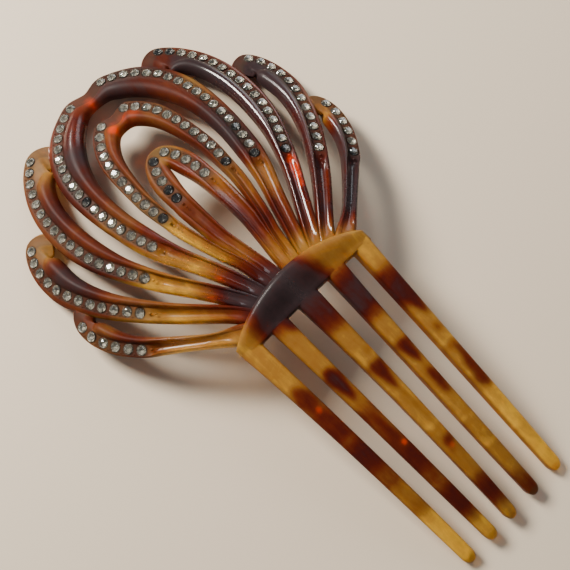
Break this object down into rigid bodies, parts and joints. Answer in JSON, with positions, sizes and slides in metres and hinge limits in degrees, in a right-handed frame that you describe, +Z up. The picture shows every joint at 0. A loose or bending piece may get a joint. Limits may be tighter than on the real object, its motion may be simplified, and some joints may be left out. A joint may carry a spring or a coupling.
{
  "type": "mantilla comb",
  "caption": "Fan-shaped celluloid hair comb with nested straps set with round stones, a domed heading and long curved teeth, worn standing in an updo",
  "frame": {"origin": "centre of the comb's outline, on the surface that it lies on", "axes": "+X across the comb to the right, seen from the stone side with the crown up; +Y along the comb from the teeth to the crown; +Z up, out of the stone side"},
  "size_m": [0.097, 0.1692, 0.0221],
  "materials": {
    "celluloid": "polished see-through celluloid imitating tortoiseshell: amber with red-brown and near-black patches",
    "stone": "clear cut-glass stones, foiled at the back, some with the foil gone dark"
  },
  "bodies": {
    "root": {"comb_body": "celluloid", "stones_loop_1": "stone", "stones_loop_2": "stone", "stones_loop_3": "stone", "stones_scallop_4_left": "stone", "stones_scallop_4_right": "stone", "stones_scallop_5_left": "stone", "stones_scallop_5_right": "stone", "stones_scallop_6_left": "stone", "stones_scallop_6_right": "stone"}
  },
  "joints": []
}
